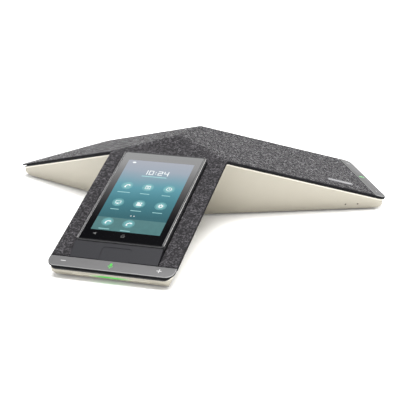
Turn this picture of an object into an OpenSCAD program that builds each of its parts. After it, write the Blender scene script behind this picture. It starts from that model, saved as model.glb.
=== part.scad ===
// Three-armed conference telephone: a pyramid of three sloping arms, with a touch screen in the
// front arm and a press-and-rock control bar across the end of each arm.
// Millimetres. +Z is up, -Y is the front, and the origin is at the middle of the base on the table.

/* [Body] */
// Hub axis to the outer edge of each control bar
arm_reach = 189; // [186:0.5:194]
// Width of each arm across its top
arm_width = 114; // [112:0.5:118]
// Height of the apex above the table
apex_height = 74.5; // [73.5:0.25:76]
// Height of the sloping top at the outer edge of a control bar
tip_height = 13; // [12.8:0.1:13.6]
// Radius of the two outer corners of each arm
arm_corner = 9; // [7:0.5:10]
// Radius of the corner between two arms
valley_fillet = 5; // [3:0.5:7]

/* [Shell] */
// Height of the shell's underside above the table
foot_height = 1.7; // [1.5:0.1:2.4]
// Thickness of the moulded walls
wall = 2.4; // [2.2:0.1:2.6]
// How far a wall leans out for each millimetre that it rises
wall_lean = 0.47; // [0.44:0.01:0.48]
// Drop from the sloping top to the shell's rim
shell_drop = 3.8; // [3.6:0.1:4]

/* [Cover] */
// Thickness of the fabric
fabric_thickness = 1.2; // [1:0.1:1.3]
// Depth to which the fabric wraps over the edge
fabric_wrap = 3; // [2.6:0.1:3.1]

/* [Control bars] */
// Length of a control bar along its arm
bar_depth = 12; // [11.5:0.1:12.5]
// Thickness of a control bar
bar_thickness = 1.8; // [1.7:0.1:1.9]
// Free gap round a control bar
bar_gap = 0.5; // [0.4:0.05:0.6]

/* [Display] */
// Width of the display's frame
screen_width = 79.4; // [78:0.2:80.4]
// Length of the display's frame along the slope
screen_length = 129.4; // [127:0.2:130]
// Height of the cover glass above the fabric
screen_proud = 5; // [4.6:0.1:5.4]

/* [Hidden] */
$fn = 48;

// Arms, as directions from the hub
FRONT = -90;
RIGHT = 30;
LEFT = 150;
ARMS = [FRONT, RIGHT, LEFT];

// The sloping top
half_width = arm_width / 2;
slope = (apex_height - tip_height) / arm_reach;
slope_deg = atan(slope);
function roof_z(r) = apex_height - slope * r;

// The hub's axis lies this far behind the middle of the base, so that the base is centred
rear_reach = (arm_reach - arm_corner) * sin(30) + (half_width - arm_corner) * cos(30) + arm_corner;
hub_y = (arm_reach - rear_reach) / 2;

// Frame under the fabric
frame_thickness = 2;
frame_drop = fabric_thickness + frame_thickness;
seam_r = arm_reach - bar_depth;
big = 400;

// Shell: rim_half is half its width at the rim, and wall_half follows the leaning wall down
rim_inset = 1.4;
end_inset = 1.9;
rim_half = half_width - rim_inset;
function rim_z(r) = roof_z(r) - shell_drop;
function wall_half(r, z) = rim_half - wall_lean * (rim_z(r) - z);
flare = wall_lean * slope;
side_wall = wall * sqrt(1 + wall_lean * wall_lean + flare * flare);
floor_z = foot_height + wall;
end_high = arm_reach - end_inset;
end_low = end_high - 5.6;
knee_z = rim_z(end_high) - 2.4;
rake_deg = atan((knee_z - foot_height) / (end_high - end_low));
shell_corner = 7.5;
inner_corner = 5.5;

// Directions and offsets of an arm's leaning wall, and of the raked face under its end
flare_deg = atan(flare);
lean_deg = atan(wall_lean * cos(flare_deg));
wall_base = wall_half(0, 0) * cos(flare_deg);
wall_normal = [-sin(flare_deg) * cos(lean_deg), cos(flare_deg) * cos(lean_deg), -sin(lean_deg)];
wall_offset = wall_base * cos(lean_deg);
rake_normal = [sin(rake_deg), 0, -cos(rake_deg)];
rake_offset = [(end_low + end_high) / 2, 0, (foot_height + knee_z) / 2] * rake_normal;

// Rear bay for the plugs
bay_half = 24;
bay_front = -6.2;
bay_top = 25;
bay_wall = 2.2;

// Display, along the slope from the apex
screen_start = 39.2;
screen_end = screen_start + screen_length;
screen_half = screen_width / 2;
screen_round = 3;
glass_rim = 1.8;
glass_thickness = 1.1;
lcd_half = 33.6;
lcd_start = screen_start + 10.2;
lcd_length = 115.6;
lcd_thickness = 4.2;
glass_bottom = screen_proud - glass_thickness;
lcd_top = glass_bottom - 0.1;
bezel_bottom = -1.8;
bracket_thickness = 1.5;
tray_depth = 8;
tray_floor = 1.5;
tray_wall = 1.5;
tray_clear = 0.4;
fascia_drop = 1;
fascia_rise = 4.1;
fascia_thickness = 1.6;
fascia_start = screen_end + 0.4;

// Control bar and what it works
press_stroke = 0.5;
key_r = 180.1;
key_board_z = 7.6;
key_board_thickness = 0.8;
switch_height = 1.2;
volume_y = 38;
pin_r = 0.8;
pin_z = 11.9;
pin_start = 177.8;
pin_end = 182.4;
carrier_start = 178.8;
carrier_end = 181.4;
guide_y = 12;
guide_r = 1;
icon_depth = 0.6;
icon_y = 43;

// Speaker, on the hub's axis
flange_z = 55.2;
flange_thickness = 2;
flange_r = 31;
cone_r = 23.7;
gasket_z = flange_z + flange_thickness;
gasket_thickness = 1;
magnet_z = 33;
box_r = 32;
box_z = 28.2;

// Boards and fixings
board_z = 9;
board_thickness = 1.6;
board_top = board_z + board_thickness;
board_end = 118;
board_posts = [[14, 17], [60, 22], [110, 28]];
boss_top = 12;
post_r = 140;
post_y = 22;
screw_r = 1.5;
mic_r = 161.5;
mic_z = 7.7;
mic_spacing = 11.6;
mic_hole_r = 0.7;

// Colours
charcoal = [0.19, 0.19, 0.2];
champagne = [0.8, 0.76, 0.67];
black = [0.03, 0.03, 0.035];
steel_grey = [0.45, 0.46, 0.47];
smoke = [0.14, 0.145, 0.15];
rubber_grey = [0.3, 0.29, 0.27];
board_green = [0.05, 0.3, 0.16];
metal = [0.72, 0.73, 0.75];
amber = [0.72, 0.45, 0.12];

// A vector turned about Z
function spin(v, a) = [v[0] * cos(a) - v[1] * sin(a), v[0] * sin(a) + v[1] * cos(a), v[2]];

// ---------- frames ----------

// The hub's axis at the table
module at_hub() {
    translate([0, hub_y, 0]) children();
}

// An arm: X runs out along it, Y to the left of someone looking out, Z up
module on_arm(angle) {
    at_hub() rotate([0, 0, angle]) children();
}

// The sloping top of an arm: X runs down the slope from the apex, Z is square to the top
module on_slope(angle) {
    on_arm(angle) translate([0, 0, apex_height]) rotate([0, slope_deg, 0]) children();
}

// The leaning side wall of an arm: X runs along it, Y points out of it, Z up its face.
// side is 1 for the left wall and -1 for the right one.
module on_wall(angle, side) {
    on_arm(angle) mirror([0, side < 0 ? 1 : 0, 0])
        rotate([0, 0, flare_deg]) translate([0, wall_base, 0]) rotate([-lean_deg, 0, 0]) children();
}

// The raked face under the end of an arm: X runs up and out along it, Z into the shell
module on_rake(angle) {
    on_arm(angle) translate([(end_low + end_high) / 2, 0, (foot_height + knee_z) / 2])
        rotate([0, -rake_deg, 0]) children();
}

// ---------- shared shapes ----------

// Everything below the sloping top, lowered by drop
module below_roof(drop) {
    at_hub() intersection_for (angle = ARMS)
        rotate([0, 0, angle]) translate([0, 0, apex_height - drop]) rotate([0, slope_deg, 0])
            translate([-big, -big, -big]) cube([2 * big, 2 * big, big]);
}

// One arm in plan, with round outer corners
module arm_plan(half, reach, corner) {
    translate([0, -half]) square([reach - corner, 2 * half]);
    if (corner > 0) {
        translate([0, corner - half]) square([reach, 2 * (half - corner)]);
        for (side = [-1, 1]) translate([reach - corner, side * (half - corner)]) circle(corner);
    }
}

// The three arms in plan, each reaching to reach, with round outer corners and filleted valleys
module star(inset, reach, corner) {
    half = half_width - inset;
    valley = half / sin(60);
    fillet = valley_fillet + inset;
    far = valley + fillet / sin(60);
    at_hub() linear_extrude(apex_height + 10) {
        for (angle = ARMS) rotate(angle) arm_plan(half, reach, corner);
        difference() {
            circle(valley + fillet * 0.45);
            for (angle = ARMS) rotate(angle + 60) {
                translate([far, 0]) circle(fillet);
                polygon([[far, 0], [far - fillet * sin(60), fillet * cos(60)], [far + 40, 100], [far + 40, -100],
                    [far - fillet * sin(60), -fillet * cos(60)]]);
            }
        }
    }
}

// The star cut to a sheet that follows the slope, from one drop below it to another
module roof_sheet(inset, reach, corner, upper, lower) {
    difference() {
        intersection() {
            star(inset, reach, corner);
            below_roof(upper);
        }
        below_roof(lower);
    }
}

// Adds or removes the material of a rounded edge between two planes, n . p = d, which meet there
module edge_round(n1, d1, n2, d2, radius, reach) {
    c = n1 * n2;
    e1 = d1 - radius;
    e2 = d2 - radius;
    centre = (e1 - c * e2) / (1 - c * c) * n1 + (e2 - c * e1) / (1 - c * c) * n2;
    axis = cross(n1, n2) / norm(cross(n1, n2));
    across = cross(axis, n1);
    turn = acos(c);
    far = radius / cos(turn / 2);
    multmatrix([for (i = [0:2]) [n1[i], across[i], axis[i], centre[i]]])
        translate([0, 0, -reach]) linear_extrude(2 * reach) difference() {
            polygon([[0, 0], [radius, 0], [far * cos(turn / 2), far * sin(turn / 2)],
                [radius * cos(turn), radius * sin(turn)]]);
            circle(radius);
        }
}

// An arm's shell as one solid block up to the apex, with its faces moved in by inset
module shell_block(angle, inset, corner) {
    difference() {
        intersection() {
            between_walls(angle, inset);
            on_rake(angle) translate([-big, -big, inset]) cube(2 * big);
            on_arm(angle) translate([0, 0, -20]) linear_extrude(big)
                arm_plan(rim_half - (inset > 0 ? side_wall : 0), end_high - inset, corner);
        }
        for (side = [-1, 1]) on_arm(angle) edge_round(
            [wall_normal[0], side * wall_normal[1], wall_normal[2]], wall_offset - inset,
            rake_normal, rake_offset - inset, corner, 16);
    }
}

// Everything between the two leaning walls of an arm
module between_walls(angle, inset) {
    intersection_for (side = [-1, 1])
        on_wall(angle, side) translate([-big, -2 * big - inset, -big]) cube(2 * big);
}

// The three arms' blocks together
module shell_solid(inset, bottom, corner) {
    intersection() {
        union() for (angle = ARMS) shell_block(angle, inset, corner);
        translate([-big, -big, bottom]) cube(2 * big);
    }
}

// A slab in the slope's frame, from x0 to x1, to half each side, from z0 up to z1
module slab(x0, x1, half, z0, z1) {
    translate([x0, -half, z0]) cube([x1 - x0, 2 * half, z1 - z0]);
}

// The same with round corners
module round_slab(x0, x1, half, z0, z1, corner) {
    translate([0, 0, z0]) linear_extrude(z1 - z0) {
        translate([x0 + corner, -half]) square([x1 - x0 - 2 * corner, 2 * half]);
        translate([x0, corner - half]) square([x1 - x0, 2 * (half - corner)]);
        for (x = [x0 + corner, x1 - corner], side = [-1, 1])
            translate([x, side * (half - corner)]) circle(corner);
    }
}

// A tube on Z
module tube(outer, inner, z0, z1) {
    translate([0, 0, z0]) difference() {
        cylinder(r = outer, h = z1 - z0);
        translate([0, 0, -1]) cylinder(r = inner, h = z1 - z0 + 2);
    }
}

// A pan-head screw with its head's top at z = 0 and its shank going down
module screw(head_r, head_h, shank_r, length) {
    difference() {
        translate([0, 0, -head_h]) cylinder(r = head_r, h = head_h);
        for (turn = [0, 90]) rotate(turn)
            translate([-head_r * 0.6, -0.3, -head_h * 0.5]) cube([head_r * 1.2, 0.6, head_h]);
    }
    translate([0, 0, -head_h - length]) cylinder(r = shank_r, h = length);
}

// ---------- housing ----------

module lower_shell() {
    color(champagne) difference() {
        union() {
            difference() {
                intersection() {
                    shell_solid(0, foot_height, shell_corner);
                    below_roof(shell_drop);
                }
                shell_solid(wall, floor_z, inner_corner);
            }
            // walls and ceiling of the rear bay
            intersection() {
                on_arm(FRONT) translate([-60, -bay_half - bay_wall, foot_height])
                    cube([60 + bay_front + bay_wall, 2 * (bay_half + bay_wall),
                        bay_top + bay_wall - foot_height]);
                shell_solid(0, foot_height, shell_corner);
            }
            // rounded creases between the arms
            intersection() {
                for (angle = ARMS) on_arm(angle + 60) edge_round(
                    -spin(wall_normal, -60), -wall_offset,
                    -spin([wall_normal[0], -wall_normal[1], wall_normal[2]], 60), -wall_offset,
                    valley_fillet, 90);
                below_roof(shell_drop);
                translate([-big, -big, foot_height]) cube(2 * big);
            }
            // bosses for the housing screws
            for (angle = ARMS, side = [-1, 1])
                on_arm(angle) translate([post_r, side * post_y, foot_height])
                    cylinder(r = 4.5, h = boss_top - foot_height);
            // bosses under the boards
            for (p = board_posts, side = [-1, 1])
                on_arm(FRONT) translate([p[0], side * p[1], foot_height])
                    cylinder(r = 3, h = board_z - foot_height);
            for (angle = ARMS, side = [-1, 1])
                on_arm(angle) translate([172, side * 30, foot_height])
                    cylinder(r = 2.5, h = key_board_z - foot_height);
        }
        // the rear bay, open below and behind
        on_arm(FRONT) translate([-100, -bay_half, -1])
            cube([100 + bay_front, 2 * bay_half, bay_top + 1]);
        // windows for the jacks
        on_arm(FRONT) for (w = [[0, 16.4, 13.8], [16, 13.8, 7], [-15, 8.4, 3.2]])
            translate([bay_front - 1, w[0] - w[1] / 2, board_top - 0.1]) cube([bay_wall + 2, w[1], w[2]]);
        // slot for a security lock, in the bay's side wall
        on_arm(FRONT) translate([-19.5, -bay_half - bay_wall - 1, 12.5]) cube([7, bay_wall + 2, 3]);
        for (angle = ARMS) {
            // microphone holes, in the right wall of each arm
            on_wall(angle, -1) for (x = [-0.5, 0.5])
                translate([mic_r + x * mic_spacing, 2, mic_z]) rotate([90, 20, 0])
                    cylinder(r = mic_hole_r, h = 7);
            // seat for the light strip
            on_rake(angle) translate([-1.6, -35.1, -1]) cube([3.2, 70.2, 6]);
            // seat for the foot
            on_arm(angle) translate([0, 0, -1]) round_slab(150, 170, 36, 0, foot_height + 2, 6);
            // housing screws: clearance hole and counterbore
            for (side = [-1, 1]) on_arm(angle) translate([post_r, side * post_y, 0]) {
                cylinder(r = screw_r + 0.2, h = boss_top + 1);
                cylinder(r = 3.2, h = 5.2);
            }
        }
        // pilot holes in the board bosses
        for (p = board_posts, side = [-1, 1])
            on_arm(FRONT) translate([p[0], side * p[1], floor_z]) cylinder(r = 1.25, h = 20);
    }
}

module reveal_frame() {
    color(black) difference() {
        union() {
            difference() {
                roof_sheet(3.2, arm_reach, arm_corner - 3.2, frame_drop, shell_drop);
                translate([0, 0, -1]) star(7, arm_reach - 7, arm_corner - 7);
            }
            difference() {
                roof_sheet(6.7, arm_reach - 6.7, arm_corner - 6.7, shell_drop, shell_drop + 1.6);
                translate([0, 0, -1]) star(7.5, arm_reach - 7.5, arm_corner - 7.5);
            }
        }
        // room for the rocker under each bar
        for (angle = ARMS)
            on_arm(angle) translate([150, -8, 0]) cube([34, 16, 30]);
    }
}

// The tray that holds the display, in the front arm's slope frame
module display_tray() {
    on_slope(FRONT) slab(screen_start - tray_clear - tray_wall, screen_end + tray_clear + tray_wall,
        screen_half + tray_clear + tray_wall, -tray_depth - tray_floor, -fabric_thickness - 0.2);
    // seat for the fascia
    on_slope(FRONT) slab(screen_end, seam_r / cos(slope_deg) - 1, screen_half + tray_clear + tray_wall,
        -4.2, -2);
}

module top_frame() {
    bore_depth = 10;
    color(black) difference() {
        union() {
            roof_sheet(1, seam_r - bar_gap / 2, 0, fabric_thickness, frame_drop);
            intersection() {
                display_tray();
                below_roof(fabric_thickness);
                star(1, seam_r - bar_gap / 2, 0);
            }
            // collar that the speaker seals against
            intersection() {
                at_hub() tube(flange_r, 27.5, gasket_z + gasket_thickness, apex_height);
                below_roof(fabric_thickness + 1);
            }
            // screw posts: to the sheet in the rear arms, and to the tray in the front arm
            intersection() {
                for (angle = [RIGHT, LEFT], side = [-1, 1])
                    on_arm(angle) translate([post_r, side * post_y, boss_top]) cylinder(r = 4, h = 40);
                below_roof(fabric_thickness + 1);
            }
            intersection() {
                for (side = [-1, 1])
                    on_arm(FRONT) translate([post_r, side * post_y, boss_top]) cylinder(r = 4, h = 40);
                on_slope(FRONT) slab(-big, big, big, -big, -tray_depth - tray_floor / 2);
            }
        }
        // well for the display
        on_slope(FRONT) slab(screen_start - tray_clear, screen_end + tray_clear,
            screen_half + tray_clear, -tray_depth, 10);
        // well for the fascia
        on_slope(FRONT) slab(screen_end - 0.1, 250, screen_half + 0.3,
            -fascia_drop - fascia_thickness, 10);
        // slot for the flat cable
        on_slope(FRONT) slab(84, 87, 11, -20, 0);
        // sound holes over the speaker
        at_hub() for (ring = [0:4], i = [0:max(0, ring * 6 - 1)])
            rotate(12 + i * 60 / max(1, ring)) translate([ring * 5.2, 0, 50]) cylinder(r = 1.6, h = 40, $fn = 24);
        for (angle = ARMS, side = [-1, 1])
            on_arm(angle) translate([post_r, side * post_y, boss_top - 1]) cylinder(r = screw_r, h = 1 + 6);
    }
    // bosses that carry the display's bracket
    color(black) on_slope(FRONT)
        for (x = [screen_start + 6, screen_end - 6], side = [-1, 1]) translate([x, side * 33, 0])
            tube(3, 1.1, -tray_depth, bezel_bottom - bracket_thickness);
}

module fabric_cover() {
    color(charcoal) difference() {
        roof_sheet(0, seam_r - bar_gap / 2, 0, 0, fabric_wrap);
        intersection() {
            translate([0, 0, -1]) star(1, arm_reach, 0);
            below_roof(fabric_thickness);
        }
        // opening for the display and the fascia
        on_slope(FRONT) round_slab(screen_start - tray_clear, 230, screen_half + tray_clear, -20, 10, screen_round);
    }
}

// A round-cornered bar with rounded ends lying on the fabric
module badge() {
    badge_length = 26;
    badge_half = 2.4;
    color(metal) on_slope(RIGHT) translate([142, -39, 0])
        round_slab(0, badge_length, badge_half, 0, 0.9, badge_half - 0.01);
}

module rating_label() {
    color([0.85, 0.85, 0.83]) on_arm(FRONT) round_slab(70, 112, 18, foot_height - 0.2, foot_height, 2);
}

// ---------- display ----------

module display_bezel() {
    color(black) on_slope(FRONT) difference() {
        round_slab(screen_start, screen_end, screen_half, bezel_bottom, screen_proud, screen_round);
        round_slab(screen_start + glass_rim, screen_end - glass_rim, screen_half - glass_rim,
            glass_bottom, screen_proud + 1, screen_round - 1);
        slab(lcd_start - 0.2, lcd_start + lcd_length + 0.2, lcd_half + 0.2, bezel_bottom - 1, screen_proud);
    }
}

module cover_glass() {
    gap = 0.15;
    color([0.05, 0.06, 0.07]) on_slope(FRONT)
        round_slab(screen_start + glass_rim + gap, screen_end - glass_rim - gap,
            screen_half - glass_rim - gap, glass_bottom, screen_proud, screen_round - 1);
}

module lcd_module() {
    color([0.1, 0.42, 0.5]) on_slope(FRONT)
        slab(lcd_start, lcd_start + lcd_length, lcd_half, lcd_top - lcd_thickness, lcd_top);
}

module display_bracket() {
    color(metal) on_slope(FRONT) difference() {
        round_slab(screen_start + 2, screen_end - 2, screen_half - 2,
            bezel_bottom - bracket_thickness, bezel_bottom, 4);
        slab(84, 87, 11, -10, 0);
        for (x = [screen_start + 30, screen_start + 58, screen_start + 86])
            round_slab(x, x + 14, 24, -10, 0, 3);
        for (x = [screen_start + 6, screen_end - 6], side = [-1, 1])
            translate([x, side * 33, -5]) cylinder(r = 1.3, h = 5);
    }
}

module display_flex() {
    flex_bottom = -33.5;
    color(amber) on_slope(FRONT) {
        slab(85.3, 85.7, 10, flex_bottom, lcd_top - lcd_thickness - 0.02);
        slab(84.1, 86.9, 10.8, flex_bottom - 1.5, flex_bottom);
    }
}

module fascia_panel() {
    recess_half = 13.5;
    panel_end = (seam_r - bar_gap / 2) / cos(slope_deg);
    run = panel_end - fascia_start;
    ramp = atan(fascia_rise / run);
    color(smoke) difference() {
        intersection() {
            on_slope(FRONT) slab(fascia_start, 230, screen_half, -fascia_drop - fascia_thickness, fascia_rise);
            star(1, seam_r - bar_gap / 2, 0);
        }
        on_slope(FRONT) translate([panel_end, 0, 0]) rotate([0, ramp, 0]) {
            slab(-60, 30, 60, 0, 20);
            round_slab(3.4 - run, 6, recess_half, -0.4, 1, 3);
        }
    }
}

// ---------- control bars ----------

// The marks on a bar: minus, microphone and plus, as outlines at height 0
module bar_marks() {
    translate([key_r + 3.2, -icon_y]) square([0.9, 5], center = true);
    translate([key_r + 3.2, icon_y]) {
        square([0.9, 5.6], center = true);
        square([5.6, 0.9], center = true);
    }
    translate([key_r + 3.2, 0]) {
        square([2.6, 2.4], center = true);
        for (x = [-1.3, 1.3]) translate([x, 0]) circle(1.2, $fn = 32);
        difference() {
            translate([0.9, 0]) circle(2.9, $fn = 32);
            translate([0.9, 0]) circle(2.1, $fn = 32);
            translate([-3.2, -4]) square([4.1, 8]);
        }
        translate([3.7, -0.4]) square([1, 0.8]);
    }
}

// The marks as solids just under the bar's top face
module mark_solids(angle) {
    difference() {
        intersection() {
            on_arm(angle) linear_extrude(apex_height) bar_marks();
            below_roof(0);
        }
        below_roof(icon_depth);
    }
}

// The bar's sheet, floating clear of the fabric
module bar_sheet(angle) {
    difference() {
        intersection() {
            star(0, arm_reach, arm_corner);
            below_roof(0);
            on_arm(angle) translate([seam_r + bar_gap / 2, -half_width, 0])
                cube([bar_depth, arm_width, 60]);
        }
        below_roof(bar_thickness);
    }
}

module control_bar(angle) {
    ear_thickness = 0.8;
    color(steel_grey) difference() {
        union() {
            bar_sheet(angle);
            intersection() {
                below_roof(bar_thickness - 0.3);
                on_arm(angle) {
                    for (x = [pin_start, pin_end - ear_thickness])
                        translate([x, -2.5, 10.7]) cube([ear_thickness, 5, 10]);
                    for (side = [-1, 1])
                        translate([key_r, side * volume_y, key_board_z + key_board_thickness
                            + switch_height + 1.15]) cylinder(r = 1.2, h = 10);
                }
            }
        }
        mark_solids(angle);
        on_arm(angle) translate([pin_start - 1, 0, pin_z]) rotate([0, 90, 0]) cylinder(r = pin_r, h = 8);
    }
}

module bar_icons(angle) {
    color([0.9, 0.95, 0.9]) mark_solids(angle);
}

module rocker_pin(angle) {
    color(metal) on_arm(angle) translate([pin_start, 0, pin_z]) rotate([0, 90, 0])
        cylinder(r = pin_r, h = pin_end - pin_start);
}

module key_carrier(angle) {
    carrier_bottom = key_board_z + key_board_thickness + switch_height + press_stroke + 0.1;
    color(black) on_arm(angle) difference() {
        union() {
            translate([carrier_start, -3, carrier_bottom]) cube([carrier_end - carrier_start, 6, 2.7]);
            translate([carrier_start + 0.4, -14, carrier_bottom])
                cube([carrier_end - carrier_start - 0.8, 28, 1.2]);
            for (side = [-1, 1]) translate([key_r, side * guide_y, carrier_bottom - 3])
                cylinder(r = guide_r, h = 3.5);
        }
        translate([carrier_start - 1, 0, pin_z]) rotate([0, 90, 0])
            cylinder(r = pin_r + 0.05, h = carrier_end - carrier_start + 2);
    }
}

module key_board(angle) {
    color(board_green) on_arm(angle) difference() {
        translate([168, -45, key_board_z]) cube([14.4, 90, key_board_thickness]);
        for (side = [-1, 1]) translate([key_r, side * guide_y, 0])
            cylinder(r = guide_r + 0.1, h = 20);
    }
}

module key_switches(angle) {
    color([0.8, 0.8, 0.78]) on_arm(angle)
        for (y = [-volume_y, 0, volume_y])
            translate([key_r, y, key_board_z + key_board_thickness]) {
                translate([-1.6, -1.6, 0]) cube([3.2, 3.2, switch_height - 0.4]);
                cylinder(r = 0.9, h = switch_height);
            }
}

module light_strip(angle) {
    color([0.55, 0.8, 0.5]) on_rake(angle) translate([-1.5, -35, 0]) cube([3, 70, 2.2]);
}

module foot(angle) {
    color(rubber_grey) on_arm(angle) round_slab(150.2, 169.8, 35.8, 0, foot_height + 1, 5.8);
}

module mic_module(angle) {
    length = mic_spacing + 8;
    inner = -wall - 0.05;
    color(board_green) on_wall(angle, -1) difference() {
        union() {
            translate([mic_r - length / 2, inner - 1.8, mic_z - 2.4]) cube([length, 1.8, 4.8]);
            for (x = [-0.5, 0.5]) translate([mic_r + x * mic_spacing - 1.8, inner - 2.8, mic_z - 1.5])
                cube([3.6, 1, 3]);
        }
        for (x = [-0.5, 0.5]) translate([mic_r + x * mic_spacing, inner + 1, mic_z]) rotate([90, 0, 0])
            cylinder(r = mic_hole_r, h = 2.4);
    }
}

// ---------- electronics ----------

// A flat cable on the floor of an arm, with a riser at each end
module ribbon(angle, start, end, y, riser_top) {
    color(metal) on_arm(angle) translate([0, y - 3.5, floor_z + 0.1]) {
        translate([start, 0, 0]) cube([end - start, 7, 0.4]);
        translate([start, 0, 0]) cube([0.4, 7, riser_top - floor_z - 0.1]);
        translate([end - 0.4, 0, 0]) cube([0.4, 7, key_board_z - floor_z - 0.1]);
    }
}

module main_board() {
    color(board_green) on_arm(FRONT) difference() {
        translate([0, 0, board_z]) linear_extrude(board_thickness)
            polygon([[-3.8, -21.5], [board_end, -38], [board_end, 38], [-3.8, 21.5]]);
        for (p = board_posts, side = [-1, 1]) translate([p[0], side * p[1], 0]) cylinder(r = 1.6, h = 20);
    }
}

module processor_shield() {
    color(metal) on_arm(FRONT) difference() {
        round_slab(76, 106, 15, board_top, board_top + 3, 1.5);
        translate([0, 0, board_top - 1]) round_slab(76.5, 105.5, 14.5, 0, 3.5, 1);
    }
}

module lan_transformer() {
    color(black) on_arm(FRONT) round_slab(20, 36, 8, board_top, board_top + 8.5, 0.8);
}

// A jack's metal or plastic body that faces the rear bay
module jack_body(y, width, height, depth) {
    translate([bay_front + 0.4, y - width / 2, board_top]) cube([depth, width, height]);
}

module lan_jack() {
    color(metal) on_arm(FRONT) difference() {
        jack_body(0, 16, 13.4, 17.6);
        translate([bay_front, -5.9, board_top + 2]) cube([13.5, 11.8, 7.4]);
        translate([bay_front, -3.2, board_top + 9]) cube([13.5, 6.4, 2.4]);
    }
}

module usb_a_jack() {
    color(metal) on_arm(FRONT) difference() {
        jack_body(16, 13.4, 6.6, 14);
        translate([bay_front, 16 - 6.2, board_top + 0.7]) cube([10, 12.4, 1.9]);
        translate([bay_front, 16 - 6.2, board_top + 2.5]) cube([1.6, 12.4, 2.4]);
        translate([bay_front, 16 - 6.2, board_top + 4.4]) cube([10, 12.4, 1.5]);
    }
}

module micro_usb_jack() {
    color(metal) on_arm(FRONT) difference() {
        jack_body(-15, 8, 2.9, 6);
        translate([bay_front, -15 - 3.5, board_top + 0.5]) cube([5, 7, 1.9]);
    }
}

module lock_plate() {
    color(metal) on_arm(FRONT) difference() {
        translate([-24, -bay_half - bay_wall - 1.6, 9]) cube([16, 1.5, 10]);
        translate([-19.5, -bay_half - bay_wall - 3, 12.5]) cube([7, 4, 3]);
    }
}

module wifi_antennas() {
    color(board_green) for (a = [[RIGHT, 16], [LEFT, -16]])
        on_arm(a[0]) translate([70, a[1], floor_z]) cube([32, 0.8, 9]);
}

// ---------- speaker ----------

module speaker_basket() {
    color(steel_grey) at_hub() difference() {
        rotate_extrude() polygon([
            [28, flange_z], [flange_r, flange_z], [flange_r, flange_z + flange_thickness],
            [27.9, flange_z + flange_thickness], [26.6, flange_z - 1.6], [16.5, 42.4], [9, 42.4], [9, 41],
            [17.5, 41]
        ]);
        for (i = [0:5]) rotate(i * 60) translate([14, -4.5, 43.5]) cube([20, 9, 8.5]);
        for (i = [0:2]) rotate(i * 120 + 30) translate([29.6, 0, 50]) cylinder(r = 0.9, h = 12);
    }
}

module speaker_magnet() {
    color(metal) at_hub() rotate_extrude() polygon([
        [0, magnet_z - 2], [16, magnet_z - 2], [16, magnet_z], [17, magnet_z], [17, 39.5], [15, 39.5],
        [15, 41], [7.4, 41], [7.4, magnet_z + 1.5], [5.5, magnet_z + 1.5], [5.5, 41.5], [0, 41.5]
    ]);
}

module speaker_cone() {
    color([0.12, 0.12, 0.13]) at_hub() rotate_extrude() polygon([
        [6.9, 46.6], [8.2, 46.6], [cone_r, 54.6], [cone_r, 55.4], [9.4, 48], [8, 49.6], [5.6, 51],
        [2.8, 51.8], [0, 52], [0, 51.2], [2.6, 51], [5.2, 50.2], [6.9, 48.9]
    ]);
}

module voice_coil() {
    color(amber) at_hub() tube(6.85, 6.2, 37.5, 48.6);
}

module speaker_surround() {
    inner = cone_r + 0.2;
    color(black) at_hub() rotate_extrude() polygon([
        [inner, 54.8], [inner + 0.6, 54.8], [inner + 1, 56.4], [inner + 1.9, 56.9], [inner + 2.8, 56.4],
        [27.1, 55.6], [27.1, 56.4], [inner + 2.9, 57.2], [inner + 1.9, 57.6], [inner + 0.4, 57],
        [inner, 55.6]
    ]);
}

module speaker_gasket() {
    color(black) at_hub() tube(flange_r - 0.2, 28, gasket_z, gasket_z + gasket_thickness);
}

module speaker_enclosure() {
    color(black) at_hub() difference() {
        translate([0, 0, box_z]) cylinder(r = box_r, h = flange_z - box_z);
        translate([0, 0, box_z + 1.6]) cylinder(r = box_r - 1.6, h = flange_z - box_z - 3.2);
        translate([0, 0, box_z + 10]) cylinder(r = 28.4, h = 40);
    }
}

// ---------- fasteners ----------

module housing_screws() {
    color(metal) for (angle = ARMS, side = [-1, 1])
        on_arm(angle) translate([post_r, side * post_y, 3]) mirror([0, 0, 1]) screw(2.8, 2.1, screw_r - 0.05, 12.5);
}

module board_screws() {
    color(metal) {
        for (p = board_posts, side = [-1, 1])
            on_arm(FRONT) translate([p[0], side * p[1], board_top + 1.6]) screw(2.4, 1.6, 1.2, 5);
        on_slope(FRONT) for (x = [screen_start + 6, screen_end - 6], side = [-1, 1])
            translate([x, side * 33, bezel_bottom]) translate([0, 0, -bracket_thickness - 3])
                cylinder(r = 1.05, h = bracket_thickness + 3);
    }
}

lower_shell();
reveal_frame();
top_frame();
fabric_cover();
display_bezel();
cover_glass();
lcd_module();
display_bracket();
display_flex();
fascia_panel();
badge();
rating_label();
control_bar(FRONT);  // control_bar_front
control_bar(RIGHT);  // control_bar_right
control_bar(LEFT);  // control_bar_left
bar_icons(FRONT);  // bar_icons_front
bar_icons(RIGHT);  // bar_icons_right
bar_icons(LEFT);  // bar_icons_left
key_carrier(FRONT);  // key_carrier_front
key_carrier(RIGHT);  // key_carrier_right
key_carrier(LEFT);  // key_carrier_left
rocker_pin(FRONT);  // rocker_pin_front
rocker_pin(RIGHT);  // rocker_pin_right
rocker_pin(LEFT);  // rocker_pin_left
key_board(FRONT);  // key_board_front
key_board(RIGHT);  // key_board_right
key_board(LEFT);  // key_board_left
key_switches(FRONT);  // key_switches_front
key_switches(RIGHT);  // key_switches_right
key_switches(LEFT);  // key_switches_left
light_strip(FRONT);  // light_strip_front
light_strip(RIGHT);  // light_strip_right
light_strip(LEFT);  // light_strip_left
foot(FRONT);  // foot_front
foot(RIGHT);  // foot_right
foot(LEFT);  // foot_left
mic_module(FRONT);  // mic_module_front
mic_module(RIGHT);  // mic_module_right
mic_module(LEFT);  // mic_module_left
ribbon(FRONT, 100, 175, 0, board_z);  // ribbon_front
ribbon(RIGHT, 14, 175, -13.5, board_z);  // ribbon_right
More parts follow.
